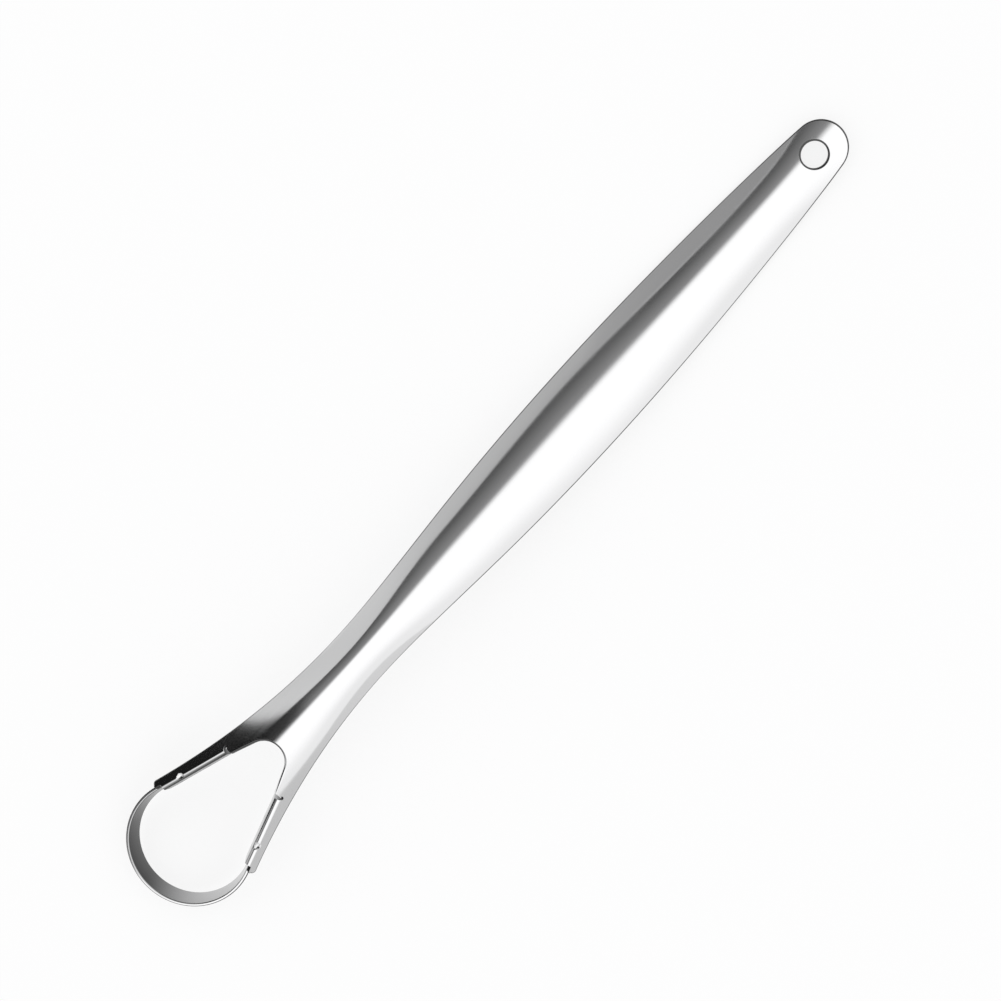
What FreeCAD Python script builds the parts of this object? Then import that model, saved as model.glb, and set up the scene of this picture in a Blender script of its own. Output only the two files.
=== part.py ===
import FreeCAD, Part
import math
import os

from FreeCAD import Vector

# Tongue scraper: a stamped steel handle whose fork arms clasp a bent steel band.
# X runs from the tail to the head, Z is up, sizes are in millimetres and degrees.
# A "run" is the distance along X from one station to the next, counted from the tail end.

# Sheet stock and fits
HANDLE_SHEET = 0.65
BAND_SHEET = 0.55
BAND_CLEARANCE = 0.15

# Tail tab and its hanging hole
TAIL_RADIUS = 4.2
TAIL_TAPER = 7.0
TAIL_DEPTH = 0.75
HOLE_SETBACK = 5.5
HOLE_DIAMETER = 4.0
HOLE_RIM_RADIUS = 0.25

# Grip: run to each station, full width there, and the depth of the arch below its crown
TAB_RUN = 9.0
TAB_WIDTH = 9.4
TAB_DEPTH = 1.25
PALM_RUN = 11.0
PALM_WIDTH = 11.0
BELLY_RUN = 35.5
BELLY_WIDTH = 13.2
GRIP_DEPTH = 1.9
TAPER_RUN = 22.5
TAPER_WIDTH = 11.7
WAIST_RUN = 14.4
WAIST_WIDTH = 9.7
NECK_RUN = 10.3
NECK_WIDTH = 8.9
NECK_DEPTH = 2.4

# Distance from the tail end at which the crown starts to rise
RISE_REACH = 17.0

# Scraping loop: a strip on edge, leaning outwards, in a plane that dips to the tip
LOOP_RUN = 3.2
LOOP_RADIUS = 9.75
LOOP_DIP = 11.0
BAND_HEIGHT = 3.5
BAND_LEAN = 11.5
BAND_SPLAY = 17.0
BAND_END_CORNER = 1.4

# Fork: the arms leave the neck, and fold down over the band from the shoulder on;
# the flank's width is what it adds outside the crease at the arm's end, seen from above
SPLAY_RUN = 12.6
SPLAY_WIDTH = 10.4
SPLAY_DEPTH = 2.35
APEX_RUN = 5.5
APEX_RADIUS = 3.2
SHOULDER_RUN = 5.6
ARM_RUN = 11.7
ARM_CORNER_RADIUS = 0.5
FLANK_WIDTH = 1.04
FLANK_LEAN = 43.0
RELIEF_RADIUS = 0.4

# Clinch tabs, which start past the shoulder, stop short of the arm's end and overlap the band;
# the band's ends stop short of the tabs' starts, and spot welds join the two
CLINCH_START = 0.6
CLINCH_SETBACK = 0.85
CLINCH_OVERLAP = 1.8
BAND_SETBACK = 1.6
WELD_RADIUS = 0.55
WELD_DEPTH = 0.25
WELD_PITCH = 5.0

# Stake mark that presses each fold onto the band
STAKE_SETBACK = 3.7
STAKE_RADIUS = 0.7
STAKE_DEPTH = 0.2

dip = math.radians(LOOP_DIP)
band_lean = math.radians(BAND_LEAN)
band_splay = math.radians(BAND_SPLAY)
flank_lean = math.radians(FLANK_LEAN)

# Stations from the tail end to the loop centre
tab_x = TAB_RUN
palm_x = tab_x + PALM_RUN
belly_x = palm_x + BELLY_RUN
taper_x = belly_x + TAPER_RUN
waist_x = taper_x + WAIST_RUN
neck_x = waist_x + NECK_RUN
splay_x = neck_x + SPLAY_RUN
apex_x = splay_x + APEX_RUN
shoulder_x = apex_x + SHOULDER_RUN
arm_end_x = shoulder_x + ARM_RUN
loop_x = arm_end_x + LOOP_RUN

# The lowest corner of the band's tip stands on Z = 0.
band_drop = BAND_HEIGHT * math.cos(band_lean)
band_foot_radius = LOOP_RADIUS - BAND_HEIGHT * math.sin(band_lean)
loop_height = band_foot_radius * math.sin(dip) + band_drop * math.cos(dip)
loop_place = FreeCAD.Placement(
    Vector(loop_x, 0, loop_height), FreeCAD.Rotation(Vector(0, 1, 0), LOOP_DIP)
)
overall_length = loop_x + LOOP_RADIUS * math.cos(dip)
row_shift = Vector(-overall_length / 2, 0, 0)


def band_axes(side):
    """Loop-plane directions at the end of the arc: out, back along the straight end, up and in."""
    out = Vector(-math.sin(band_splay), side * math.cos(band_splay), 0)
    back = Vector(-math.cos(band_splay), -side * math.sin(band_splay), 0)
    rise = out * math.sin(band_lean) + Vector(0, 0, math.cos(band_lean))
    inward = out * -math.cos(band_lean) + Vector(0, 0, math.sin(band_lean))
    return out, back, rise, inward


def band_section(out):
    """The strip's cross-section, standing on edge at the loop radius."""
    rise = out * math.sin(band_lean) + Vector(0, 0, math.cos(band_lean))
    inward = out * -math.cos(band_lean) + Vector(0, 0, math.sin(band_lean))
    top = out * LOOP_RADIUS
    foot = top - rise * BAND_HEIGHT
    step = inward * BAND_SHEET
    return Part.Face(Part.makePolygon([top, foot, foot + step, top + step, top]))


def flank_normal(side):
    """Loop-plane direction that the arm's flank faces."""
    out = band_axes(side)[0]
    return out * math.sin(flank_lean) + Vector(0, 0, math.cos(flank_lean))


# The fold lies above the band's inner face, so that the flank passes over the band's top edge.
fold_rise = BAND_SHEET * math.tan(flank_lean) + BAND_CLEARANCE


def fold_start(side):
    """Loop-plane point of the fold line, inside the bend, level with the end of the arc."""
    out, _, rise, inward = band_axes(side)
    return out * LOOP_RADIUS + inward * BAND_SHEET + rise * fold_rise


def fold_distance(x, offset=Vector()):
    """Distance to an X along the arm, at an offset from its fold line, from the end of the arc."""
    start = loop_place.multVec(fold_start(1) + offset)
    return (x - start.x) / loop_place.Rotation.multVec(band_axes(1)[1]).x


def arm_point(x, offset=Vector()):
    """Where a line along the +Y arm, at an offset from its fold line, reaches an X."""
    distance = fold_distance(x, offset)
    return loop_place.multVec(fold_start(1) + offset + band_axes(1)[1] * distance)


def crease(x):
    """Half width and height of the arm's top surface where it starts to fold down."""
    point = arm_point(x, flank_normal(1) * HANDLE_SHEET)
    return point.y, point.z


end_half, end_height = crease(arm_end_x)
shoulder_half, shoulder_height = crease(shoulder_x)
end_arch = math.tan(flank_lean) / (2 * end_half)
crest_height = end_height + end_arch * end_half**2
shoulder_arch = (crest_height - shoulder_height) / shoulder_half**2
arm_end_half = end_half + FLANK_WIDTH


def arch(depth, width):
    """Coefficient of a parabolic arch from its depth and its full width."""
    return depth / (width / 2) ** 2


# The palm's lower edges stand on Z = 0; the crown is level at the tail and rises to the fork.
palm_edge_slope = math.atan(4 * GRIP_DEPTH / PALM_WIDTH)
tail_height = GRIP_DEPTH + HANDLE_SHEET * math.cos(palm_edge_slope)


def crown(x):
    """Height of the crown line, level at the tail, with a smooth rise to the fork."""
    t = min(max((x - RISE_REACH) / (splay_x - RISE_REACH), 0), 1)
    return tail_height + (crest_height - tail_height) * t * t * (3 - 2 * t)


margin = 3.0
arches = [
    (-margin, arch(TAIL_DEPTH, 2 * TAIL_RADIUS)),
    (TAIL_RADIUS / 2, arch(TAIL_DEPTH, 2 * TAIL_RADIUS)),
    (tab_x, arch(TAB_DEPTH, TAB_WIDTH)),
    (palm_x, arch(GRIP_DEPTH, PALM_WIDTH)),
    (belly_x, arch(GRIP_DEPTH, BELLY_WIDTH)),
    (taper_x, arch(GRIP_DEPTH, TAPER_WIDTH)),
    (waist_x, arch(GRIP_DEPTH, WAIST_WIDTH)),
    (neck_x, arch(NECK_DEPTH, NECK_WIDTH)),
    (splay_x, arch(SPLAY_DEPTH, SPLAY_WIDTH)),
    (shoulder_x, shoulder_arch),
    (arm_end_x, end_arch),
    (arm_end_x + margin, end_arch),
]


def arched_surface():
    """The handle's top surface: parabolic arches along a rising crown."""
    reach = [x for x, _ in arches]
    half = arm_end_half + margin
    rows = []
    for across, bulge in ((-half, -1), (0, 1), (half, -1)):
        curve = Part.BSplineCurve()
        points = [Vector(x, across, crown(x) + bulge * k * half**2) for x, k in arches]
        curve.interpolate(Points=points, Parameters=reach)
        rows.append(curve)
    poles = list(zip(*[curve.getPoles() for curve in rows]))
    surface = Part.BSplineSurface()
    surface.buildFromPolesMultsKnots(
        [list(row) for row in poles],
        rows[0].getMultiplicities(),
        [3, 3],
        rows[0].getKnots(),
        [0, 1],
        False,
        False,
        3,
        2,
    )
    return surface.toShape()


def flat(x, y):
    return Vector(x, y, -margin)


def outline():
    """Plan of the handle, seen from above, as one closed wire."""
    taper = math.radians(TAIL_TAPER)
    tail = (TAIL_RADIUS * (1 - math.sin(taper)), TAIL_RADIUS * math.cos(taper))
    edge_points = [
        tail,
        (tab_x, TAB_WIDTH / 2),
        (palm_x, PALM_WIDTH / 2),
        (belly_x, BELLY_WIDTH / 2),
        (taper_x, TAPER_WIDTH / 2),
        (waist_x, WAIST_WIDTH / 2),
        (neck_x, NECK_WIDTH / 2),
        (splay_x, SPLAY_WIDTH / 2),
    ]
    along = (math.cos(band_splay), math.sin(band_splay))
    inward = (math.sin(band_splay), -math.cos(band_splay))
    corner = (arm_end_x, arm_end_half)
    r = ARM_CORNER_RADIUS
    arc_in = [c - r * a for c, a in zip(corner, along)]
    arc_out = [c + r * i for c, i in zip(corner, inward)]
    arc_mid = [c - r * (1 - math.sqrt(0.5)) * (a - i) for c, a, i in zip(corner, along, inward)]
    edge_points.append(arc_in)

    # The arm ends square to its own direction, where that line meets the crease.
    crease_run = (arm_end_x - shoulder_x, end_half - shoulder_half)
    gap = (arm_end_x - shoulder_x, arm_end_half - shoulder_half)
    share = (gap[0] * along[0] + gap[1] * along[1]) / (
        crease_run[0] * along[0] + crease_run[1] * along[1]
    )
    crease_end = (shoulder_x + share * crease_run[0], shoulder_half + share * crease_run[1])

    # The opening runs tangent from the apex arc to the clinch tab's inner face.
    throat = (shoulder_x, arm_point(shoulder_x).y - HANDLE_SHEET)
    centre_x = apex_x + APEX_RADIUS
    reach = math.hypot(throat[0] - centre_x, throat[1])
    turn = math.atan2(throat[1], throat[0] - centre_x) + math.acos(APEX_RADIUS / reach)
    tangent = (centre_x + APEX_RADIUS * math.cos(turn), APEX_RADIUS * math.sin(turn))

    edges = [
        Part.Arc(flat(tail[0], -tail[1]), flat(0, 0), flat(*tail)).toShape(),
        Part.Arc(flat(tangent[0], -tangent[1]), flat(apex_x, 0), flat(*tangent)).toShape(),
    ]
    for side in (1, -1):
        curve = Part.BSplineCurve()
        curve.interpolate(
            Points=[flat(x, side * y) for x, y in edge_points],
            InitialTangent=Vector(math.cos(taper), side * math.sin(taper), 0),
            FinalTangent=Vector(along[0], side * along[1], 0),
        )
        edges.append(curve.toShape())
        arc = [flat(x, side * y) for x, y in (arc_in, arc_mid, arc_out)]
        edges.append(Part.Arc(*arc).toShape())
        path = [arc_out, crease_end, (shoulder_x, shoulder_half), throat, tangent]
        path = [flat(x, side * y) for x, y in path]
        edges += [Part.makeLine(a, b) for a, b in zip(path, path[1:])]
    return Part.Wire(Part.__sortEdges__(edges))


# Along the fold line: the tab lies between its relief and the arm's end, over the band's end.
clinch_back = fold_distance(shoulder_x) - CLINCH_START
clinch_front = fold_distance(arm_end_x) + CLINCH_SETBACK
band_end = clinch_back - BAND_SETBACK


def clinch_tab(side):
    """The inner tab, bent down from the arm round the fold line and lying on the band."""
    _, back, rise, inward = band_axes(side)
    fold = fold_start(side) + back * clinch_front
    foot = fold - rise * (fold_rise + CLINCH_OVERLAP)
    step = inward * HANDLE_SHEET
    plate = Part.makePolygon([fold, foot, foot + step, fold + step, fold])
    # The bend's round runs on into the flank, so that the two join.
    flank = flank_normal(side) * HANDLE_SHEET
    inside_flank = flank - rise * (HANDLE_SHEET / 4)
    inside_flank = inside_flank * (HANDLE_SHEET / inside_flank.Length)
    crown_dir = inside_flank + step
    crown_point = fold + crown_dir * (HANDLE_SHEET / crown_dir.Length)
    bend = Part.Wire(
        [
            Part.Arc(fold + inside_flank, crown_point, fold + step).toShape(),
            Part.makeLine(fold + step, fold),
            Part.makeLine(fold, fold + inside_flank),
        ]
    )
    tab = Part.Face(plate).fuse(Part.Face(bend)).removeSplitter()
    return [face.extrude(back * (clinch_back - clinch_front)) for face in tab.Faces]


def spot_welds(side):
    """Two flat nuggets, each sunk half into the clinch tab and half into the band."""
    _, back, rise, inward = band_axes(side)
    middle = fold_start(side) + back * ((clinch_front + band_end) / 2)
    middle = middle - rise * (fold_rise + CLINCH_OVERLAP / 2)
    nuggets = []
    for end in (-1, 1):
        centre = middle + back * (end * WELD_PITCH / 2)
        base = centre - inward * WELD_DEPTH
        nuggets.append(Part.makeCylinder(WELD_RADIUS, 2 * WELD_DEPTH, base, inward))
    return nuggets


def near(edge, point):
    return min((v.Point - point).Length for v in edge.Vertexes) < BAND_SHEET / 10


def scraper_band():
    """The strip bent to a U: an arc of a cone with two straight ends."""
    left = band_section(band_axes(1)[0])
    right = band_section(band_axes(-1)[0])
    arc = right.revolve(Vector(), Vector(0, 0, 1), 180 + 2 * BAND_SPLAY)
    ends = []
    for side, section in ((1, left), (-1, right)):
        out, back, rise, _ = band_axes(side)
        end = section.extrude(back * band_end)
        foot = out * LOOP_RADIUS - rise * BAND_HEIGHT + back * band_end
        corner = [e for e in end.Edges if e.Length < 2 * BAND_SHEET and near(e, foot)]
        ends.append(end.makeFillet(BAND_END_CORNER, corner))
    return arc.fuse(ends).removeSplitter()


def placed(shape, place):
    moved = shape.copy()
    moved.Placement = place.multiply(moved.Placement)
    return moved


def arched_sheet():
    """The stamped sheet: the arched surface cut to its outline, thickened and punched."""
    prism = Part.Face(outline()).extrude(Vector(0, 0, crest_height + 4 * margin))
    top = arched_surface().common(prism).Faces[0]
    sheet = top.makeOffsetShape(-HANDLE_SHEET, 0.001, fill=True)
    centre = Vector(HOLE_SETBACK, 0, tail_height)
    hole = Part.makeCylinder(HOLE_DIAMETER / 2, 4 * margin, centre - Vector(0, 0, 2 * margin))
    sheet = sheet.cut(hole)
    top = max(sheet.Faces, key=lambda face: face.Area)
    rim = [e for e in top.Edges if (e.CenterOfMass - centre).Length < HOLE_DIAMETER * 0.6]
    return sheet.makeFillet(HOLE_RIM_RADIUS, rim)


def stake(side):
    """A ball that dents the outside of the bend."""
    fold = arm_point(arm_end_x - STAKE_SETBACK)
    height = fold.z + HANDLE_SHEET - STAKE_DEPTH + STAKE_RADIUS
    return Part.makeSphere(STAKE_RADIUS, Vector(fold.x, side * fold.y, height), Vector(1, 0, 0))


def handle(welds):
    """The sheet with its reliefs, clinch tabs, stake marks and weld seats."""
    body = arched_sheet()
    for side in (1, -1):
        foot = Vector(shoulder_x, side * shoulder_half, 0)
        body = body.cut(Part.makeCylinder(RELIEF_RADIUS, crest_height + margin, foot))
    tabs = [placed(piece, loop_place) for side in (1, -1) for piece in clinch_tab(side)]
    body = body.fuse(tabs).removeSplitter()
    return body.cut([stake(1), stake(-1)] + welds)


welds = {
    name: [placed(nugget, loop_place) for nugget in spot_welds(side)]
    for name, side in (("left_spot_welds", 1), ("right_spot_welds", -1))
}
nuggets = [nugget for group in welds.values() for nugget in group]
nodes = {name: Part.makeCompound(group) for name, group in welds.items()}
nodes["handle"] = handle(nuggets).Solids[0]
nodes["scraper_band"] = placed(scraper_band(), loop_place).cut(nuggets).Solids[0]

os.makedirs("parts", exist_ok=True)
for name, shape in nodes.items():
    shape.translate(row_shift)
    shape.exportStep(f"parts/{name}.step")
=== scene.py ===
import math

import bpy
import numpy as np
from mathutils import Matrix, Vector
from mathutils.geometry import delaunay_2d_cdt


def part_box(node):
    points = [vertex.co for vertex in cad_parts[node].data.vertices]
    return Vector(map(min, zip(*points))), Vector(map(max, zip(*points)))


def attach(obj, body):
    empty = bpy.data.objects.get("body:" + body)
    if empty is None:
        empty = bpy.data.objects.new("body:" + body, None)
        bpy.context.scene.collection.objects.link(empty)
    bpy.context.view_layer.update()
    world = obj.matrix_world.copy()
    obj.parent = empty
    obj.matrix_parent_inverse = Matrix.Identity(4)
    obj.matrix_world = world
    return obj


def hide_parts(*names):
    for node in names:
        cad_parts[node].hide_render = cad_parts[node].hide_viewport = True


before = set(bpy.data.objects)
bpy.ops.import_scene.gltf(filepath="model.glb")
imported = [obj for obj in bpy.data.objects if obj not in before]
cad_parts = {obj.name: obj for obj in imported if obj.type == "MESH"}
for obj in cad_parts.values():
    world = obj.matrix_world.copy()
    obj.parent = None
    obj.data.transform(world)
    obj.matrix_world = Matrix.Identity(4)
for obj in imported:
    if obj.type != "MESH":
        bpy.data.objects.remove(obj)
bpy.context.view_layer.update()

# Tongue scraper: a polished sheet-steel handle, a bent scraping band and the welds between them.
# Sizes are in millimetres and radians, with X counted from the tail end; meshes are in metres.
MM = 0.001
TAIL_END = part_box("handle")[0].x

# Sheet stock: thicknesses, the rounds of cut edges, and the gap drawn between touching faces.
# A foot's round is at most FOOT_SHARE of the round above it.
SHEET = 0.65
BAND_SHEET = 0.55
BAND_CLEARANCE = 0.15
TOP_ROUND = 0.3
FOOT_ROUND = 0.16
FOOT_SHARE = 0.8
CONTACT_GAP = 0.01

# Tail tab and hanging hole
TAIL_RADIUS = 4.2
TAIL_TAPER = math.radians(7.0)
TAIL_DEPTH = 0.75
HOLE_X = 5.5
HOLE_RADIUS = 2.0

# Stations along the grip: X, full width and arch depth. The crest rises from RISE_X on, and the
# surface goes on for MARGIN past both ends.
TAB = (9.0, 9.4, 1.25)
PALM = (20.0, 11.0, 1.9)
BELLY = (55.5, 13.2, 1.9)
TAPER = (78.0, 11.7, 1.9)
WAIST = (92.4, 9.7, 1.9)
NECK = (102.7, 8.9, 2.4)
SPLAY = (115.3, 10.4, 2.35)
GRIP = (TAB, PALM, BELLY, TAPER, WAIST, NECK, SPLAY)
RISE_X = 17.0
MARGIN = 3.0

# Fork and its arms; the throat's edge gets rounder over THROAT_BLEND
APEX_X = 120.8
APEX_RADIUS = 3.2
SHOULDER_X = 126.4
ARM_END_X = 138.1
ARM_CORNER = 0.65
INNER_CORNER = 0.25
FLANK_WIDTH = 1.04
FLANK_LEAN = math.radians(43.0)
THROAT_BLEND = 2.0

# Relief slit at the shoulder, which lets the clinch tab fold down. The crease stops RELIEF_CLEAR
# radii from its middle, its arc is short of its ends by NOTCH_TURNS, and its lip has a fine edge.
RELIEF_RADIUS = 0.22
RELIEF_SLIT = 0.32
RELIEF_CLEAR = 1.3
NOTCH_ROUND = 0.1
NOTCH_TURNS = (0.35, 0.45)
LIP_ROUND = 0.04
LIP_TAPER = 0.6

# Clinch tabs, their welds and the stake marks; FACING keeps a dimple to the face it is pressed in
CLINCH_START = 0.6
CLINCH_SETBACK = 0.85
CLINCH_OVERLAP = 1.8
CLINCH_ROUND = 0.9
BAND_SETBACK = 1.6
WELD_RADIUS = 0.55
WELD_PITCH = 5.0
WELD_DENT = 0.06
FACING = 0.9
STAKE_SETBACK = 3.7
STAKE_RADIUS = 0.7
STAKE_DEPTH = 0.2

# Scraping loop: a strip on edge, leaning outwards, in a plane that dips to the tip
LOOP_X = 141.3
LOOP_RADIUS = 9.75
LOOP_DIP = math.radians(11.0)
BAND_HEIGHT = 3.5
BAND_LEAN = math.radians(11.5)
BAND_SPLAY = math.radians(17.0)
BAND_CORNER = 1.4
BAND_TOP_ROUND = 0.2
BAND_FOOT_ROUND = 0.12

# Where shade is painted in as a darker tone, with a rougher finish: cut edges, tabs, the band's rim
# and its inner wall. Towards +Y, and on the band's wall towards its foot, light is painted in as
# less of that shade.
PAINTED_LIGHT_FROM = -0.2
PAINTED_LIGHT_SHARE = 0.58
FOOT_PAINTED_LIGHT = 0.1
RIM_START = 0.02
RIM_SPAN = 0.2
CUT_FADE = 2.0
TAB_START = 0.1
TAB_SPAN = 0.25

# Mesh steps, the share of a step by which grid points keep clear of others, and the two sides
EDGE_STEP = 0.4
FINE_STEP = 0.15
GRID_STEP = 0.5
GRID_CLEAR = 0.6
ARC_STEPS = 9
TAB_STEPS = 10
BAND_STEPS = 180
TINY = 1e-6
SIDES = (1, -1)


def unit(v):
    v = np.asarray(v, float)
    return v / np.linalg.norm(v, axis=-1, keepdims=True)


def ease(t):
    """A smooth step from 0 to 1."""
    t = np.clip(t, 0, 1)
    return t * t * (3 - 2 * t)


def corner_lift(distance, radius):
    """How far a rounded corner rises from the edge, at a distance from the end."""
    short = max(0, radius - distance)
    return radius - math.sqrt(radius**2 - short**2)


def spline(xs, ys, start=None, end=None):
    """A smooth curve through points, as a function; start and end are its end slopes."""
    xs = np.array(xs, float)
    ys = np.array(ys, float)
    step = np.diff(xs)
    rise = np.diff(ys) / step
    rows = np.eye(len(xs))
    right = np.zeros(len(xs))
    right[0] = rise[0] if start is None else start
    right[-1] = rise[-1] if end is None else end
    for i in range(1, len(xs) - 1):
        rows[i, i - 1] = 1 / step[i - 1]
        rows[i, i] = 2 / step[i - 1] + 2 / step[i]
        rows[i, i + 1] = 1 / step[i]
        right[i] = 3 * (rise[i - 1] / step[i - 1] + rise[i] / step[i])
    slope = np.linalg.solve(rows, right)

    def value(x):
        i = np.clip(np.searchsorted(xs, x) - 1, 0, len(step) - 1)
        t = (x - xs[i]) / step[i]
        lead = slope[i] * step[i] - (ys[i + 1] - ys[i])
        trail = (ys[i + 1] - ys[i]) - slope[i + 1] * step[i]
        return (1 - t) * ys[i] + t * ys[i + 1] + t * (1 - t) * ((1 - t) * lead + t * trail)

    return value


# Loop frame: its plane holds the band's top edge and dips to the tip
BAND_DROP = BAND_HEIGHT * math.cos(BAND_LEAN)
FOOT_RADIUS = LOOP_RADIUS - BAND_HEIGHT * math.sin(BAND_LEAN)
LOOP_Z = FOOT_RADIUS * math.sin(LOOP_DIP) + BAND_DROP * math.cos(LOOP_DIP)
DIP = np.array(Matrix.Rotation(LOOP_DIP, 3, "Y"))
LOOP_CENTRE = np.array([LOOP_X, 0, LOOP_Z])


def from_loop(points):
    return np.asarray(points) @ DIP.T + LOOP_CENTRE


def band_axes(side):
    """Loop-frame directions at the end of the arc: out, back along the straight end, up and in."""
    out = np.array([-math.sin(BAND_SPLAY), side * math.cos(BAND_SPLAY), 0])
    back = np.array([-math.cos(BAND_SPLAY), -side * math.sin(BAND_SPLAY), 0])
    up = np.array([0, 0, 1])
    rise = out * math.sin(BAND_LEAN) + up * math.cos(BAND_LEAN)
    inward = up * math.sin(BAND_LEAN) - out * math.cos(BAND_LEAN)
    return out, back, rise, inward


FOLD_RISE = BAND_SHEET * math.tan(FLANK_LEAN) + BAND_CLEARANCE


def fold_point(side, distance):
    """Loop-frame point on the fold line, at a distance behind the end of the arc."""
    out, back, rise, inward = band_axes(side)
    return out * LOOP_RADIUS + inward * BAND_SHEET + rise * FOLD_RISE + back * distance


def fold_distance(x, offset=0.0):
    """Distance behind the end of the arc at which the offset fold line reaches an X."""
    start = from_loop(fold_point(1, 0) + offset)
    return (x - start[0]) / (DIP @ band_axes(1)[1])[0]


def crease(x):
    """Plan half width and height of the arm's top surface where it starts to fold down."""
    out = band_axes(1)[0]
    offset = (out * math.sin(FLANK_LEAN) + np.array([0, 0, math.cos(FLANK_LEAN)])) * SHEET
    point = from_loop(fold_point(1, fold_distance(x, offset)) + offset)
    return point[1], point[2]


END_HALF, END_Z = crease(ARM_END_X)
SHOULDER_HALF, SHOULDER_Z = crease(SHOULDER_X)
LIP_HALF = SHOULDER_HALF - RELIEF_RADIUS
END_ARCH = math.tan(FLANK_LEAN) / (2 * END_HALF)
CREST_Z = END_Z + END_ARCH * END_HALF**2
SHOULDER_ARCH = (CREST_Z - SHOULDER_Z) / SHOULDER_HALF**2
TAIL_Z = PALM[2] + SHEET * math.cos(math.atan(4 * PALM[2] / PALM[1]))


def rising_crown(x):
    """Height of the crest, which rises from the tail to the fork."""
    return TAIL_Z + (CREST_Z - TAIL_Z) * ease((x - RISE_X) / (SPLAY[0] - RISE_X))


def arch_of(width, depth):
    return depth / (width / 2) ** 2


TAIL_ARCH = arch_of(2 * TAIL_RADIUS, TAIL_DEPTH)
ARCHES = [(-MARGIN, TAIL_ARCH), (TAIL_RADIUS / 2, TAIL_ARCH)]
ARCHES += [(x, arch_of(width, depth)) for x, width, depth in GRIP]
ARCHES += [(SHOULDER_X, SHOULDER_ARCH), (ARM_END_X, END_ARCH), (ARM_END_X + MARGIN, END_ARCH)]
ARCH_X = [x for x, _ in ARCHES]
crown = spline(ARCH_X, [rising_crown(x) for x in ARCH_X])
arch = spline(ARCH_X, [k for _, k in ARCHES])


def on_sheet(plan):
    """Points of the handle's top surface above plan points."""
    x, y = plan[:, 0], plan[:, 1]
    return np.column_stack([x, y, crown(x) - arch(x) * y**2])


def sheet_normal(plan):
    """Unit normals of the handle's top surface above plan points."""
    step = 1e-3
    x, y = plan[:, 0], plan[:, 1]
    slope_x = (crown(x + step) - crown(x - step)) / (2 * step)
    slope_x -= (arch(x + step) - arch(x - step)) / (2 * step) * y**2
    return unit(np.column_stack([-slope_x, 2 * arch(x) * y, np.ones(len(x))]))


def line(a, b, step):
    """Points from a up to, but not including, b."""
    a, b = np.array(a, float), np.array(b, float)
    count = max(1, round(np.linalg.norm(b - a) / step))
    return [a + (b - a) * i / count for i in range(count)]


def arc(centre, radius, start, end, step):
    """Points on an arc from one angle up to, but not including, another."""
    count = max(3, round(abs(end - start) * radius / step))
    turns = [start + (end - start) * i / count for i in range(count)]
    return [np.array(centre) + radius * np.array([math.cos(t), math.sin(t)]) for t in turns]


def rounded(before, corner, after, radius):
    """An arc of a radius in the corner between two points."""
    corner = np.array(corner, float)
    to_before = unit(np.array(before) - corner)
    to_after = unit(np.array(after) - corner)
    half = math.acos(np.clip(to_before @ to_after, -1, 1)) / 2
    centre = corner + unit(to_before + to_after) * radius / math.sin(half)
    start = corner + to_before * radius / math.tan(half) - centre
    end = corner + to_after * radius / math.tan(half) - centre
    turn = math.atan2(start[0] * end[1] - start[1] * end[0], start @ end)
    first = math.atan2(start[1], start[0])
    return arc(centre, radius, first, first + turn, FINE_STEP) + [centre + end]


CLINCH_BACK = fold_distance(SHOULDER_X) - RELIEF_SLIT
CLINCH_FRONT = fold_distance(ARM_END_X) + CLINCH_SETBACK
BAND_END = fold_distance(SHOULDER_X) - CLINCH_START - BAND_SETBACK


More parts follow.
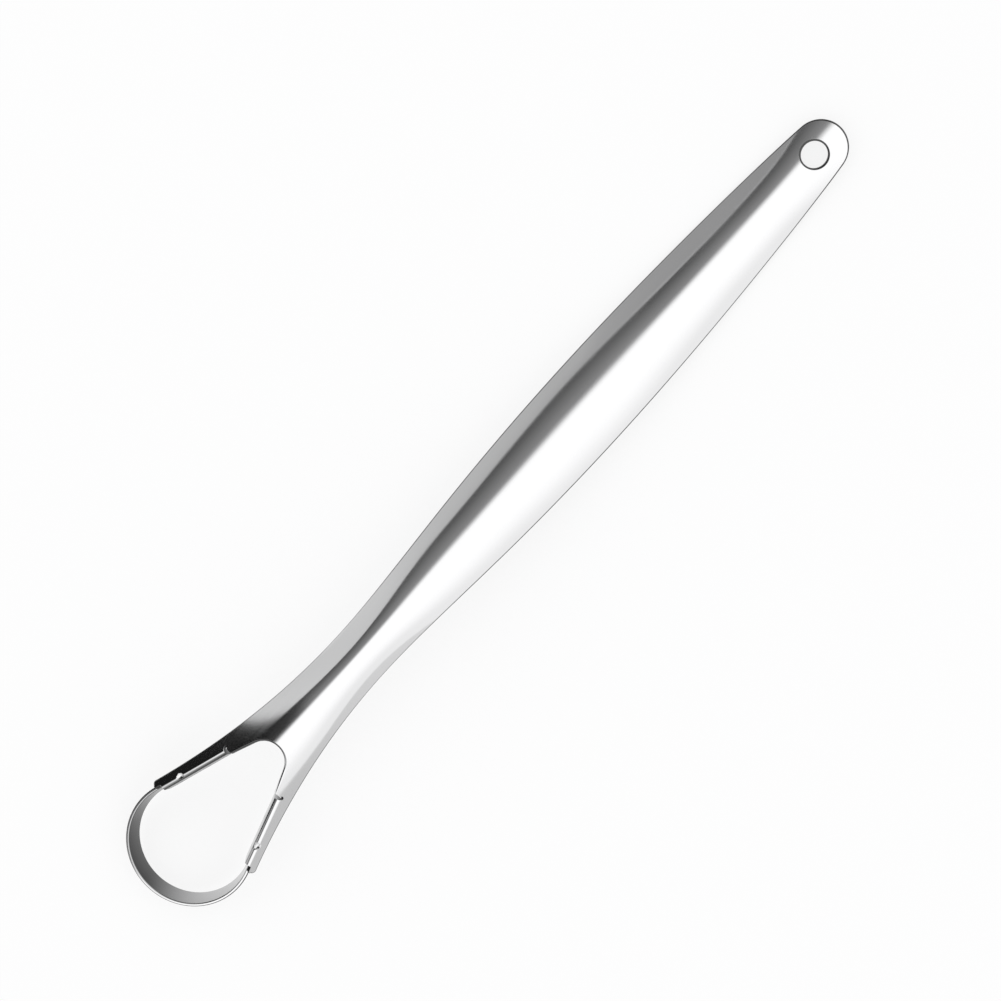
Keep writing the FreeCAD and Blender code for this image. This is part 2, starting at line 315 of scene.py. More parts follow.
def left_outline():
    """Plan of the handle's left half, from the tail end to the apex of the fork.

    Each point comes with the round of its edge, and with its distance along the clinch tab's
    fold, or None on a plain edge.
    """
    tail = (TAIL_RADIUS * (1 - math.sin(TAIL_TAPER)), TAIL_RADIUS * math.cos(TAIL_TAPER))
    along = np.array([math.cos(BAND_SPLAY), math.sin(BAND_SPLAY)])
    corner = np.array([ARM_END_X, END_HALF + FLANK_WIDTH])
    arc_in = corner - ARM_CORNER * along
    knots = [tail] + [(x, width / 2) for x, width, _ in GRIP] + [arc_in]
    edge = spline(*zip(*knots), math.tan(TAIL_TAPER), math.tan(BAND_SPLAY))

    grip = arc((TAIL_RADIUS, 0), TAIL_RADIUS, math.pi, math.pi / 2 + TAIL_TAPER, EDGE_STEP)
    count = round((arc_in[0] - tail[0]) / EDGE_STEP)
    xs = np.linspace(tail[0], arc_in[0], count, endpoint=False)
    grip += [np.array([x, edge(x)]) for x in xs]
    path = [(p, TOP_ROUND, None) for p in grip]

    # The arm's end, its inner corner and the crease down to the shoulder
    shoulder = np.array([SHOULDER_X, SHOULDER_HALF])
    crease_run = np.array([ARM_END_X, END_HALF]) - shoulder
    inner = shoulder + crease_run * ((corner - shoulder) @ along) / (crease_run @ along)
    path += [(p, TOP_ROUND, None) for p in rounded(arc_in, corner, inner, ARM_CORNER)]
    path += [(p, NOTCH_ROUND, None) for p in rounded(corner, inner, shoulder, INNER_CORNER)]
    crease_dir = unit(crease_run)
    shrink = -crease_dir[0] / (DIP @ band_axes(1)[1])[0]
    reach = np.linalg.norm(inner - shoulder) - INNER_CORNER
    for step, _ in line((reach - FINE_STEP, 0), (RELIEF_RADIUS * RELIEF_CLEAR, 0), FINE_STEP):
        distance = fold_distance(SHOULDER_X) - step * shrink
        on_tab = CLINCH_FRONT <= distance <= CLINCH_BACK
        path.append((shoulder + crease_dir * step, NOTCH_ROUND, distance if on_tab else None))

    # The relief slit at the shoulder, then the throat and the fork's apex
    fold = from_loop(fold_point(1, fold_distance(SHOULDER_X)))
    throat = np.array([SHOULDER_X, fold[1] - SHEET])
    lip = np.array([SHOULDER_X, LIP_HALF])
    start = math.atan2(crease_dir[1], crease_dir[0]) + NOTCH_TURNS[0]
    end = 1.5 * math.pi - NOTCH_TURNS[1]
    notch = arc(shoulder, RELIEF_RADIUS, start, end, FINE_STEP / 2)
    centre = np.array([APEX_X + APEX_RADIUS, 0])
    to_throat = throat - centre
    turn = math.atan2(to_throat[1], to_throat[0])
    turn += math.acos(APEX_RADIUS / np.linalg.norm(to_throat))
    tangent = centre + APEX_RADIUS * np.array([math.cos(turn), math.sin(turn)])
    notch += rounded(notch[-1], lip, throat, LIP_ROUND)
    notch += rounded(lip, throat, tangent, INNER_CORNER)
    for p in notch:
        taper = LIP_TAPER * np.linalg.norm(p - lip)
        path.append((p, np.clip(taper, LIP_ROUND / 2, NOTCH_ROUND), None))
    for p in line(notch[-1], tangent, EDGE_STEP)[1:]:
        share = min(1, np.linalg.norm(p - throat) / THROAT_BLEND)
        path.append((p, NOTCH_ROUND + share * (TOP_ROUND - NOTCH_ROUND), None))
    apex = arc(centre, APEX_RADIUS, turn, math.pi, EDGE_STEP / 2)
    path += [(p, TOP_ROUND, None) for p in apex]
    return path, np.array([APEX_X, 0])


def handle_outline():
    """The whole plan outline, anticlockwise: points, rounds, and the side and place of folds."""
    left, apex = left_outline()
    whole = [(p * (1, -1), r, d, -1) for p, r, d in left] + [(apex, TOP_ROUND, None, 1)]
    whole += [(p, r, d, 1) for p, r, d in reversed(left[1:])]
    plan = np.array([p for p, _, _, _ in whole])
    rounds = [r for _, r, _, _ in whole]
    folds = [None if d is None else (side, d) for _, _, d, side in whole]
    return plan, rounds, folds


def edge_outward(plan):
    """Directions that lead out over the sheet's edge, along its surface."""
    ahead = np.roll(plan, -1, axis=0) - plan
    behind = plan - np.roll(plan, 1, axis=0)
    flat = unit(unit(ahead) + unit(behind))
    normal = sheet_normal(plan)
    tangent = np.column_stack([flat, np.zeros(len(plan))])
    tangent = unit(tangent - normal * np.sum(tangent * normal, axis=1, keepdims=True))
    return np.cross(tangent, normal)


def plain_profile(top, out, up, round_over):
    """Rounded sheet edge, from the top surface round to the underside, with its normals."""
    points, normals = [], []
    for i in range(ARC_STEPS):
        turn = math.pi / 2 * i / (ARC_STEPS - 1)
        points.append(top + round_over * (math.sin(turn) * out - (1 - math.cos(turn)) * up))
        normals.append(math.sin(turn) * out + math.cos(turn) * up)
    foot = min(FOOT_ROUND, FOOT_SHARE * round_over)
    centre = top + (round_over - foot) * out - (SHEET - foot) * up
    below = ARC_STEPS + TAB_STEPS - 2
    for i in range(below):
        turn = math.pi / 2 * (1 + i / (below - 1))
        normals.append(math.sin(turn) * out + math.cos(turn) * up)
        points.append(centre + foot * normals[-1])
    points.append(top - SHEET * up)
    normals.append(-up)
    return points, normals


def fold_profile(top, up, side, distance):
    """The bend and the clinch tab below it, with as many points as a plain edge has."""
    _, _, rise, inward = [DIP @ axis for axis in band_axes(side)]
    fold = from_loop(fold_point(side, distance))
    from_end = min(CLINCH_BACK - distance, distance - CLINCH_FRONT)
    depth = FOLD_RISE + CLINCH_OVERLAP - corner_lift(from_end, CLINCH_ROUND)
    points, normals = [], []
    for i in range(ARC_STEPS):
        share = i / (ARC_STEPS - 1)
        centre = (1 - share) * (top - SHEET * up) + share * fold
        normals.append(unit((1 - share) * up + share * inward))
        points.append(centre + SHEET * normals[-1])
    for i in range(1, TAB_STEPS):
        drop = (depth - FOOT_ROUND) * i / (TAB_STEPS - 1)
        points.append(fold + SHEET * inward - drop * rise)
        normals.append(inward)
    centre = fold + (SHEET - FOOT_ROUND) * inward - (depth - FOOT_ROUND) * rise
    steps = ARC_STEPS - 4
    for i in range(1, steps):
        turn = math.pi / 2 * i / (steps - 1)
        normals.append(math.cos(turn) * inward - math.sin(turn) * rise)
        points.append(centre + FOOT_ROUND * normals[-1])
    for drop in (depth, depth - FOOT_ROUND, depth / 2, FOLD_RISE):
        points.append(fold + CONTACT_GAP * inward - drop * rise)
        normals.append(-inward)
    points.append(top - SHEET * up)
    normals.append(-up)
    return points, normals


def inside(points, loop):
    """Whether each plan point lies inside a closed loop."""
    within = np.zeros(len(points), bool)
    for (ax, ay), (bx, by) in zip(loop, np.roll(loop, -1, axis=0)):
        if ay != by:
            crossed = (ay > points[:, 1]) != (by > points[:, 1])
            edge_x = ax + (points[:, 1] - ay) * (bx - ax) / (by - ay)
            within ^= crossed & (points[:, 0] < edge_x)
    return within


def lattice(low, high, step):
    """Points of a triangular grid over a rectangle."""
    xs = np.arange(low[0], high[0], step)
    ys = np.arange(low[1], high[1], step)
    return np.array([(x + (j % 2) * step / 2, y) for j, y in enumerate(ys) for x in xs])


def fill_plan(outline, hole, spots):
    """Triangles of the plan between the outline and the hole, with finer ones round some spots."""
    points = np.vstack([outline, hole])
    edges = []
    for first, count in ((0, len(outline)), (len(outline), len(hole))):
        edges += [(first + i, first + (i + 1) % count) for i in range(count)]
    areas = [(spot - STAKE_RADIUS, spot + STAKE_RADIUS, FINE_STEP) for spot in spots]
    areas.append((points.min(0), points.max(0), GRID_STEP))
    kept = points
    for low, high, step in areas:
        grid = lattice(low, high, step)
        gap = np.full(len(grid), np.inf)
        for point in kept:
            gap = np.minimum(gap, np.sum((grid - point) ** 2, axis=1))
        clear = gap > (step * GRID_CLEAR) ** 2
        kept = np.vstack([kept, grid[clear & inside(grid, outline) & ~inside(grid, hole)]])
    flat = [Vector(p) for p in kept]
    verts, _, faces, origins, _, _ = delaunay_2d_cdt(flat, edges, [], 0, TINY, True)
    flat = np.array([tuple(v) for v in verts])
    faces = np.array(faces)
    middles = flat[faces].mean(1)
    faces = faces[inside(middles, outline) & ~inside(middles, hole)]
    border = {o: i for i, group in enumerate(origins) for o in group}
    return flat, faces.tolist(), [border[i] for i in range(len(points))]


def push_out(points, normals, centre, radius):
    """Dents points that lie within a ball out to its surface."""
    away = points - centre
    distance = np.linalg.norm(away, axis=1)
    struck = distance < radius
    points[struck] = centre + away[struck] / distance[struck, None] * radius
    normals[struck] = -unit(away[struck])


def dimple(points, normals, centre, axis, radius, depth):
    """A shallow round dimple, sunk against an axis."""
    away = points - centre
    height = away @ axis
    flat = away - height[:, None] * axis
    distance = np.linalg.norm(flat, axis=1)
    pressed = (distance < radius) & (np.abs(height) < SHEET / 4) & (normals @ axis > FACING)
    share = distance[pressed] / radius
    points[pressed] -= axis * (depth * (1 - share**2) ** 2)[:, None]
    slope = 4 * depth / radius * share * (1 - share**2)
    outward = flat[pressed] / np.maximum(distance[pressed], TINY)[:, None]
    normals[pressed] = unit(axis - outward * slope[:, None])


def mesh_object(name, points, faces, normals, grain, dull_and_painted_shade, flat_faces=()):
    """A piece from points in millimetres, with a normal at each point; some faces stay flat."""
    place = points * MM + np.array([TAIL_END, 0, 0])
    mesh = bpy.data.meshes.new(name)
    mesh.from_pydata(place.tolist(), [], [tuple(int(i) for i in f) for f in faces])
    mesh.polygons.foreach_set("use_smooth", [True] * len(mesh.polygons))
    mesh.update()
    flat_faces = set(flat_faces)
    loop_normals = []
    for polygon in mesh.polygons:
        if polygon.index in flat_faces:
            loop_normals += [tuple(polygon.normal)] * len(polygon.vertices)
        else:
            loop_normals += [tuple(normals[i]) for i in polygon.vertices]
    mesh.normals_split_custom_set(loop_normals)
    layer = mesh.attributes.new("grain", "FLOAT_VECTOR", "POINT")
    layer.data.foreach_set("vector", (np.asarray(grain) * MM).ravel())
    layer = mesh.attributes.new("dull_and_painted_shade", "FLOAT", "POINT")
    layer.data.foreach_set("value", np.asarray(dull_and_painted_shade, float))
    piece = bpy.data.objects.new(name, mesh)
    bpy.context.scene.collection.objects.link(piece)
    return piece


def cut_edge_shade(plan):
    """Share of the rougher edge finish with painted shade along plain edges; painted light fades it
    out on the fork's edge at +Y.
    """
    x, y = plan[:, 0], plan[:, 1]
    in_fork = (x > APEX_X) & (y > 0) & (y < LIP_HALF)
    # Painted shade on every plain edge, faded out by painted light on the fork's edge at +Y
    return np.where(in_fork, 1 - np.clip((x - APEX_X) / CUT_FADE, 0, 1), 1)


def fold_shade(side, normals):
    """Share of painted shade and rougher finish round a fold and down its tab; painted light leaves
    less of it at +Y.
    """
    lean = -side * normals[:, 1]
    # Painted shade on the tab faces, with painted light taking some of it off at +Y
    return np.clip((lean - TAB_START) / TAB_SPAN, 0, 1) * (1 - PAINTED_LIGHT_SHARE * (side > 0))


def press_marks(points, normals, stakes):
    """Presses the stake marks into the arms, and the weld dimples into the tabs."""
    for side, stake in zip(SIDES, stakes):
        _, _, rise, inward = [DIP @ axis for axis in band_axes(side)]
        ball = stake + np.array([0, 0, SHEET - STAKE_DEPTH + STAKE_RADIUS])
        push_out(points, normals, ball, STAKE_RADIUS)
        for end in (-1, 1):
            middle = (CLINCH_FRONT + BAND_END + end * WELD_PITCH) / 2
            weld = from_loop(fold_point(side, middle)) + SHEET * inward
            weld -= rise * (FOLD_RISE + CLINCH_OVERLAP / 2)
            dimple(points, normals, weld, inward, WELD_RADIUS, WELD_DENT)


def make_handle():
    """The handle's two surfaces over the filled plan, with profiles round their edges."""
    plan, rounds, folds = handle_outline()
    hole = np.array(arc((HOLE_X, 0), HOLE_RADIUS, 2 * math.pi, 0, FINE_STEP))
    rounds = np.array(rounds + [TOP_ROUND] * len(hole))
    folds += [None] * len(hole)
    edges = np.vstack([plan, hole])
    edge_shades = cut_edge_shade(edges)
    out = np.vstack([edge_outward(plan), edge_outward(hole)])
    inset = np.where([fold is None for fold in folds], rounds, 0)
    loops = np.split(edges - out[:, :2] * inset[:, None], [len(plan)])
    mark = fold_distance(ARM_END_X - STAKE_SETBACK)
    stakes = [from_loop(fold_point(side, mark)) for side in SIDES]
    flat, triangles, border = fill_plan(*loops, [stake[:2] for stake in stakes])
    tops = on_sheet(flat)
    up = sheet_normal(flat)
    count = len(flat)
    points = [tops, tops - SHEET * up]
    normals = [up, -up]
    dull_and_painted_shade = [np.zeros(2 * count)]
    faces = [tuple(t) for t in triangles]
    faces += [tuple(i + count for i in reversed(t)) for t in triangles]

    rows = []
    total = 2 * count
    for vertex, fold, sideways, round_over, share in zip(border, folds, out, rounds, edge_shades):
        if fold:
            profile, around = fold_profile(tops[vertex], up[vertex], *fold)
        else:
            profile, around = plain_profile(tops[vertex], sideways, up[vertex], round_over)
        inner = len(profile) - 2
        rows.append([vertex] + list(range(total, total + inner)) + [vertex + count])
        points.append(np.array(profile[1:-1]))
        normals.append(np.array(around[1:-1]))
        dull_and_painted_shade.append(fold_shade(fold[0], normals[-1]) if fold else np.full(inner, share))
        total += inner

    # Faces between neighbouring profiles, flat where a fold meets a plain edge
    flat_faces = []
    first = 0
    for loop in loops:
        for i in range(len(loop)):
            here = first + i
            after = first + (i + 1) % len(loop)
            a, b = rows[here], rows[after]
            for j in range(len(a) - 1):
                if bool(folds[here]) != bool(folds[after]):
                    flat_faces.append(len(faces))
                faces.append((a[j], a[j + 1], b[j + 1], b[j]))
        first += len(loop)
    points = np.vstack(points)
    normals = np.vstack(normals)
    press_marks(points, normals, stakes)
    return mesh_object("handle_sheet", points, faces, normals, points, np.hstack(dull_and_painted_shade), flat_faces)


def band_profile(drop):
    """Rounded section of the strip, as offsets out and up from its outer top corner."""
    corners = [
        ((-BAND_TOP_ROUND, -BAND_TOP_ROUND), BAND_TOP_ROUND, 0),
        ((BAND_TOP_ROUND - BAND_SHEET, -BAND_TOP_ROUND), BAND_TOP_ROUND, 1),
        ((BAND_FOOT_ROUND - BAND_SHEET, BAND_FOOT_ROUND - drop), BAND_FOOT_ROUND, 2),
        ((-BAND_FOOT_ROUND, BAND_FOOT_ROUND - drop), BAND_FOOT_ROUND, 3),
    ]
    places, facing = [], []
    for centre, radius, quarter in corners:
        for i in range(ARC_STEPS):
            turn = math.pi / 2 * (quarter + i / (ARC_STEPS - 1))
            normal = np.array([math.cos(turn), math.sin(turn)])
            places.append(np.array(centre) + radius * normal)
            facing.append(normal)
    return np.array(places), np.array(facing)


def band_path():
    """Stations along the strip: the direction out, a shift along a straight end, and the height."""
    half_turn = math.pi / 2 + BAND_SPLAY
    turns = np.linspace(-half_turn, half_turn, BAND_STEPS)
    path = [(np.array([math.cos(t), math.sin(t), 0]), 0, BAND_HEIGHT) for t in turns]
    ends = []
    for side in SIDES:
        out, back, _, _ = band_axes(side)
        straight = []
        for step, _ in line((BAND_END, 0), (0, 0), FINE_STEP * 2):
            lift = corner_lift(BAND_END - step, BAND_CORNER)
            straight.append((out, back * step, BAND_HEIGHT - lift))
        ends.append(straight)
    return ends[1] + path + ends[0][::-1]


def band_shade(out, height, facing):
    """Share of painted shade and rougher finish round the section: on the inner wall and on the
    rim's outer half; painted light lessens it on the wall towards +Y and towards the foot.
    """
    # Painted light on the inner wall: less of its painted shade towards +Y and towards the foot
    painted_light = PAINTED_LIGHT_SHARE * ease((out[1] - PAINTED_LIGHT_FROM) / (1 - PAINTED_LIGHT_FROM))
    painted_lightening = painted_light - FOOT_PAINTED_LIGHT * height / BAND_HEIGHT
    wall = np.clip(-facing[:, 0], 0, 1) * (1 - np.clip(painted_lightening, 0, 1))
    # Painted shade on the rim's outer half
    rim = np.clip((facing[:, 0] - RIM_START) / RIM_SPAN, 0, 1)
    rim *= np.clip(facing[:, 1] / RIM_SPAN, 0, 1)
    return np.maximum(wall, rim)


def make_band():
    """The strip: its rounded section at each station along it, closed by two end faces."""
    path = band_path()
    points, normals, faces, grain, dull_and_painted_shade = [], [], [], [], []
    up = np.array([0, 0, 1])
    for out, shift, drop in path:
        rise = out * math.sin(BAND_LEAN) + up * math.cos(BAND_LEAN)
        outward = out * math.cos(BAND_LEAN) - up * math.sin(BAND_LEAN)
        places, facing = band_profile(drop)
        top = out * LOOP_RADIUS + shift
        points.append(from_loop(top + places[:, :1] * outward + places[:, 1:] * rise))
        normals.append((facing[:, :1] * outward + facing[:, 1:] * rise) @ DIP.T)
        middle = points[-1].mean(0)
        travel = np.linalg.norm(middle - points[-2].mean(0)) + grain[-1][0, 0] if grain else 0.0
        height = places[:, 1]
        grain.append(np.column_stack([np.full(len(places), travel), height, places[:, 0]]))
        dull_and_painted_shade.append(band_shade(out, height, facing))
    ring = len(points[0])
    for i in range(len(path) - 1):
        for j in range(ring):
            k = (j + 1) % ring
            faces.append((i * ring + j, (i + 1) * ring + j, (i + 1) * ring + k, i * ring + k))
    last = (len(path) - 1) * ring
    caps = [len(faces), len(faces) + 1]
    faces.append(tuple(range(ring)))
    faces.append(tuple(last + j for j in reversed(range(ring))))
    layers = np.vstack(points), faces, np.vstack(normals), np.vstack(grain), np.hstack(dull_and_painted_shade)
    return mesh_object("scraper_strip", *layers, caps)


handle = make_handle()
band = make_band()
for piece, node, slot in (
    (handle, "handle", "handle_steel"),
    (band, "scraper_band", "band_steel"),
):
    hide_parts(node)
    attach(piece, "root")


class Nodes:
    """Short words for building the nodes of a material or a world."""

    def __init__(self, owner):
        owner.use_nodes = True
        self.tree = owner.node_tree

    def add(self, kind, inputs=(), **settings):
        node = self.tree.nodes.new("ShaderNode" + kind)
        for name, value in settings.items():
            setattr(node, name, value)
        for name, value in dict(inputs).items():
            self.feed(node.inputs[name], value)
        return node

    def feed(self, socket, value):
        if isinstance(value, bpy.types.NodeSocket):
            self.tree.links.new(value, socket)
        else:
            socket.default_value = value

    def noise(self, vector, scale, detail):
        inputs = {"Vector": vector, "Scale": scale, "Detail": detail}
        return self.add("TexNoise", inputs).outputs["Fac"]

    def stretched(self, vector, along, across, turn=0.0):
        inputs = {"Vector": vector, "Scale": (along, across, 1.0), "Rotation": (0.0, 0.0, turn)}
        return self.add("Mapping", inputs).outputs["Vector"]

    def remap(self, value, source, target=(0.0, 1.0), **settings):
        inputs = {"Value": value, "From Min": source[0], "From Max": source[1]}
        inputs.update({"To Min": target[0], "To Max": target[1]})
        return self.add("MapRange", inputs, **settings).outputs["Result"]

    def math(self, operation, first, second):
        return self.add("Math", {0: first, 1: second}, operation=operation).outputs[0]

    def blend(self, share, first, second):
        """A colour between two colours, which are a Mix node's sockets 6 and 7."""
        return self.add("Mix", {0: share, 6: first, 7: second}, data_type="RGBA").outputs[2]


# Finish of the steel: the tone where it is polished, the dark tones that are painted in as shade,
# and how rough it is
STEEL_TONE = 0.8
# Painted shade: dark tones for cut edges and tabs, and for the band's inner wall and rim
EDGE_SHADE_TONE = 0.09
BAND_SHADE_TONE = 0.06
WELD_TONE = 0.55
POLISH = 0.11
WELD_POLISH = 0.22
COOL_TINT = 1.006

# Its grain, scratches and smudges: their size per metre along and across the sheet, the noise
# levels between which they show, and the share of tone, roughness or relief that they change
GRAIN_SCALE = (40.0, 2600.0)
GRAIN_DETAIL = 4.0
GRAIN_RANGE = (0.3, 0.7)
GRAIN_TONES = (0.75, 1.1)
GRAIN_GLOSS = (0.9, 1.15)
GRAIN_STRENGTH = 0.05
GRAIN_DEPTH = 0.00002
SCRATCH_SCALE = (120.0, 9000.0)
SCRATCH_DETAIL = 2.0
SCRATCH_TURN = 0.02
SCRATCH_RANGE = (0.68, 0.76)
SCRATCH_GLOSS = 0.6
SCRATCH_RELIEF = 0.5
SMUDGE_SCALE = 70.0
SMUDGE_DETAIL = 4.0
SMUDGE_RANGE = (0.45, 0.75)
SMUDGE_TONE = 0.95
SMUDGE_GLOSS = 0.4


def grey(level):
    return (level, level, level * COOL_TINT, 1.0)


def polished_steel(name, tone, painted_shade_tone, roughness):
    """Polished steel with lengthwise grain, hairline scratches and faint smudges.

    A mesh's "grain" layer holds each point's place along and across the sheet, in metres. Its layer
    of painted shade and dullness marks where the finish is rougher and where a darker tone is
    painted in as shade.
    """
    material = bpy.data.materials.new(name)
    made = Nodes(material)
    shader = made.tree.nodes["Principled BSDF"]
    shader.inputs["Metallic"].default_value = 1.0
    place = made.add("Attribute", attribute_name="grain").outputs["Vector"]
    dull_and_painted_shade = made.add("Attribute", attribute_name="dull_and_painted_shade").outputs["Fac"]
    grain = made.noise(made.stretched(place, *GRAIN_SCALE), 1.0, GRAIN_DETAIL)
    hair = made.noise(made.stretched(place, *SCRATCH_SCALE, SCRATCH_TURN), 1.0, SCRATCH_DETAIL)
    scratch = made.remap(hair, SCRATCH_RANGE)
    smudge = made.noise(place, SMUDGE_SCALE, SMUDGE_DETAIL)

    bright = made.blend(smudge, grey(tone * SMUDGE_TONE), grey(tone))
    shade_colour = made.blend(grain, *(grey(painted_shade_tone * share) for share in GRAIN_TONES))
    # Painted shade: where the mask is high, the colour goes to the dark tone
    made.feed(shader.inputs["Base Color"], made.blend(dull_and_painted_shade, bright, shade_colour))

    gloss = made.remap(grain, GRAIN_RANGE, [roughness * share for share in GRAIN_GLOSS])
    smear = made.remap(smudge, SMUDGE_RANGE, (0.0, roughness * SMUDGE_GLOSS))
    gloss = made.math("ADD", gloss, smear)
    gloss = made.math("ADD", gloss, made.math("MULTIPLY", scratch, roughness * SCRATCH_GLOSS))
    gloss = made.math("ADD", gloss, made.math("MULTIPLY", dull_and_painted_shade, roughness))
    made.feed(shader.inputs["Roughness"], gloss)

    relief = made.math("SUBTRACT", grain, made.math("MULTIPLY", scratch, SCRATCH_RELIEF))
    inputs = {"Strength": GRAIN_STRENGTH, "Distance": GRAIN_DEPTH, "Height": relief}
    made.feed(shader.inputs["Normal"], made.add("Bump", inputs).outputs["Normal"])
    return material


handle.data.materials.append(polished_steel("handle_steel", STEEL_TONE, EDGE_SHADE_TONE, POLISH))
band.data.materials.append(polished_steel("band_steel", STEEL_TONE, BAND_SHADE_TONE, POLISH))
weld_metal = polished_steel("weld_metal", WELD_TONE, EDGE_SHADE_TONE, WELD_POLISH)
for node in ("left_spot_welds", "right_spot_welds"):
    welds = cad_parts[node].data
    welds.materials.clear()
    welds.materials.append(weld_metal)

# Stage: a pale floor, and cards that only show as reflections in the steel. In metres.
FLOOR_SIZE = 3.0
FLOOR_TONE = 0.9
FLOOR_WHITE = 0.75
WORLD_LEVEL = 1.05
CARD_SPAN = (-0.6, 0.6)

# Dark strip overhead, mirrored as the streak along the handle
STRIP_Z = 0.3
STRIP_NEAR = -0.025
STRIP_SOFT = 0.060
STRIP_FAR = -0.272
STRIP_LIGHT = 0.35
STRIP_DARK = 0.07

# Grey wall at -Y and white softbox overhead, mirrored on the -Y and +Y sides of the streak
WALL_Y = -0.35
WALL_TOP = 0.46
WALL_DARK = 0.42
WALL_LIGHT = 0.75
WALL_FADE = (-0.15, 0.08)
BOX_Z = 0.35
BOX_NEAR = -0.11
BOX_FAR = 0.6
BOX_SOFT = 0.45
BOX_LEVEL = 1.3

# Black flag beside the arm at -Y and black hood over the fork
FLAG_ENDS = ((0.0525, -0.060), (0.088, -0.030))
FLAG_HEIGHT = 0.08
FLAG_LEVEL = 0.012
HOOD_X = (0.079, 0.12)
HOOD_Z = 0.29
HOOD_NEAR = -0.030
HOOD_SOFT = 0.06

# Grey flag beside the tail at -Y and pale shade beside the neck at +Y
TAIL_FLAG_ENDS = ((-0.105, -0.055), (-0.040, -0.065))
TAIL_FLAG_HEIGHT = 0.062
TAIL_FLAG_DARK = 0.2
SHADE_ENDS = ((0.0, 0.09), (0.085, 0.035))
SHADE_FADE = (0.005, 0.055)
SHADE_HEIGHT = 0.03
SHADE_LIGHT = 1.0
SHADE_DARK = 0.66


def rectangle(xs, ys, z):
    return [(xs[0], ys[0], z), (xs[1], ys[0], z), (xs[1], ys[1], z), (xs[0], ys[1], z)]


def standing(ends, height):
    return [(*ends[0], 0), (*ends[1], 0), (*ends[1], height), (*ends[0], height)]


def floor_finish():
    """Pale floor, shown nearly white to the eye and in reflections, with the object's shadow."""
    material = bpy.data.materials.new("floor")
    made = Nodes(material)
    made.tree.nodes.clear()
    rays = made.add("LightPath").outputs
    seen = made.math("MAXIMUM", rays["Is Camera Ray"], rays["Is Glossy Ray"])
    seen = made.math("MAXIMUM", seen, rays["Is Transmission Ray"])
    share = made.math("MULTIPLY", seen, FLOOR_WHITE)
    matt = made.add("BsdfDiffuse", {"Color": grey(FLOOR_TONE)}).outputs["BSDF"]
    white = made.add("Emission", {"Strength": 1.0}).outputs["Emission"]
    mixed = made.add("MixShader", {0: share, 1: matt, 2: white}).outputs["Shader"]
    made.add("OutputMaterial", {"Surface": mixed})
    return material


def glowing(name, axis, level, fade, solid):
    """A card's light: one level, or two levels with a fade between two places on an axis.

    With solid, the card is clear at the first of two places on the axis and whole at the second.
    """
    material = bpy.data.materials.new(name)
    made = Nodes(material)
    made.tree.nodes.clear()
    place = made.add("TexCoord").outputs["Object"]
    along = made.add("SeparateXYZ", {"Vector": place}).outputs[axis]
    strength = made.remap(along, fade, level) if fade else level
    light = made.add("Emission", {"Strength": strength}).outputs["Emission"]
    if solid:
        share = made.remap(along, solid, interpolation_type="SMOOTHSTEP")
        clear = made.add("BsdfTransparent").outputs["BSDF"]
        light = made.add("MixShader", {0: share, 1: clear, 2: light}).outputs["Shader"]
    made.add("OutputMaterial", {"Surface": light})
    return material


def stage_piece(name, corners, material):
    """A flat piece of the stage: the floor or a card."""
    mesh = bpy.data.meshes.new(name)
    mesh.from_pydata(corners, [], [tuple(range(len(corners)))])
    mesh.materials.append(material)
    card = bpy.data.objects.new(name, mesh)
    bpy.context.scene.collection.objects.link(card)
    return card


def add_card(name, corners, axis, level, fade=None, solid=None):
    """A card that lights or darkens reflections, and isn't seen itself."""
    card = stage_piece(name, corners, glowing(name, axis, level, fade, solid))
    card.visible_camera = False
    card.visible_diffuse = False


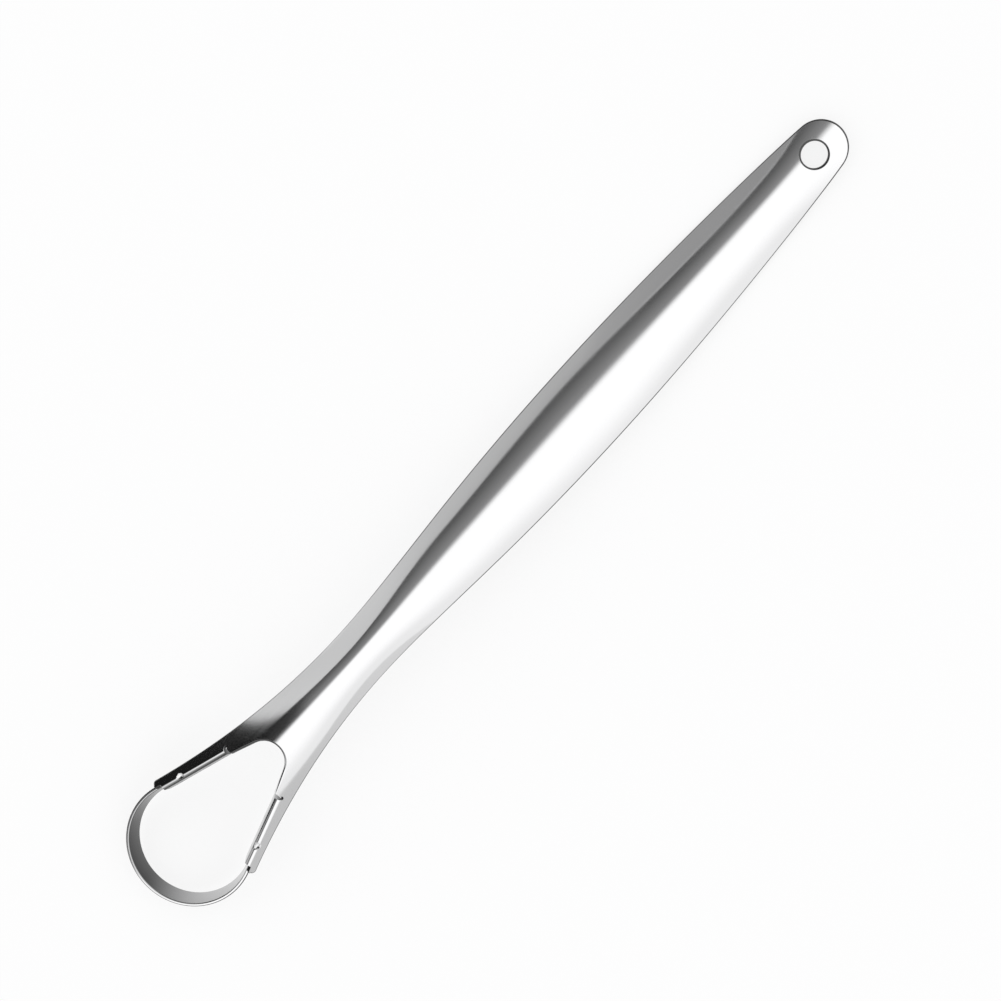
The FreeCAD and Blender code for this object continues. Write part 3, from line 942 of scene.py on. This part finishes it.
floor_span = (-FLOOR_SIZE, FLOOR_SIZE)
stage_piece("floor", rectangle(floor_span, floor_span, 0), floor_finish())
strip_y = (STRIP_NEAR, STRIP_FAR)
strip_solid = (STRIP_NEAR, STRIP_NEAR - STRIP_SOFT)
strip = rectangle(CARD_SPAN, strip_y, STRIP_Z)
add_card("strip", strip, "Y", (STRIP_LIGHT, STRIP_DARK), strip_y, strip_solid)
wall = standing([(x, WALL_Y) for x in CARD_SPAN], WALL_TOP)
add_card("wall", wall, "X", (WALL_DARK, WALL_LIGHT), WALL_FADE)
softbox = rectangle(CARD_SPAN, (BOX_NEAR, BOX_FAR), BOX_Z)
add_card("softbox", softbox, "Y", BOX_LEVEL, solid=(BOX_FAR, BOX_FAR - BOX_SOFT))
add_card("flag", standing(FLAG_ENDS, FLAG_HEIGHT), "X", FLAG_LEVEL)
hood = rectangle(HOOD_X, (HOOD_NEAR, STRIP_FAR), HOOD_Z)
add_card("hood", hood, "Y", FLAG_LEVEL, solid=(HOOD_NEAR, HOOD_NEAR - HOOD_SOFT))
tail_flag = standing(TAIL_FLAG_ENDS, TAIL_FLAG_HEIGHT)
tail_fade = [x for x, _ in TAIL_FLAG_ENDS]
add_card("tail_flag", tail_flag, "X", (TAIL_FLAG_DARK, WALL_DARK), tail_fade)
shade = standing(SHADE_ENDS, SHADE_HEIGHT)
add_card("shade", shade, "X", (SHADE_LIGHT, SHADE_DARK), SHADE_FADE)

# World: even white light
scene = bpy.context.scene
scene.view_settings.view_transform = "Standard"
scene.world = bpy.data.worlds.new("world")
background = Nodes(scene.world).tree.nodes["Background"]
background.inputs["Color"].default_value = (1.0, 1.0, 1.0, 1.0)
background.inputs["Strength"].default_value = WORLD_LEVEL

# Camera: nearly overhead, leaning to the tail, with the object on the picture's diagonal
VIEW_LEAN = math.radians(5.0)
VIEW_DISTANCE = 0.55
PICTURE_WIDTH = 0.1458
SENSOR = 36.0
ALONG_RIGHT = -0.672
ALONG_UP = -0.741
AIM = Vector((-0.0023, 0.0, 0.004))

toward = Vector((-math.sin(VIEW_LEAN), 0, math.cos(VIEW_LEAN)))
across = Vector((0, 1, 0))
along = across.cross(toward)
right = ALONG_RIGHT * along - ALONG_UP * across
up = ALONG_UP * along + ALONG_RIGHT * across
camera_data = bpy.data.cameras.new("camera")
camera_data.sensor_width = SENSOR
camera_data.lens = SENSOR * VIEW_DISTANCE / PICTURE_WIDTH
camera = bpy.data.objects.new("camera", camera_data)
rotation = Matrix((right, up, toward)).transposed()
camera.matrix_world = Matrix.LocRotScale(AIM + toward * VIEW_DISTANCE, rotation, None)
scene.collection.objects.link(camera)
scene.camera = camera
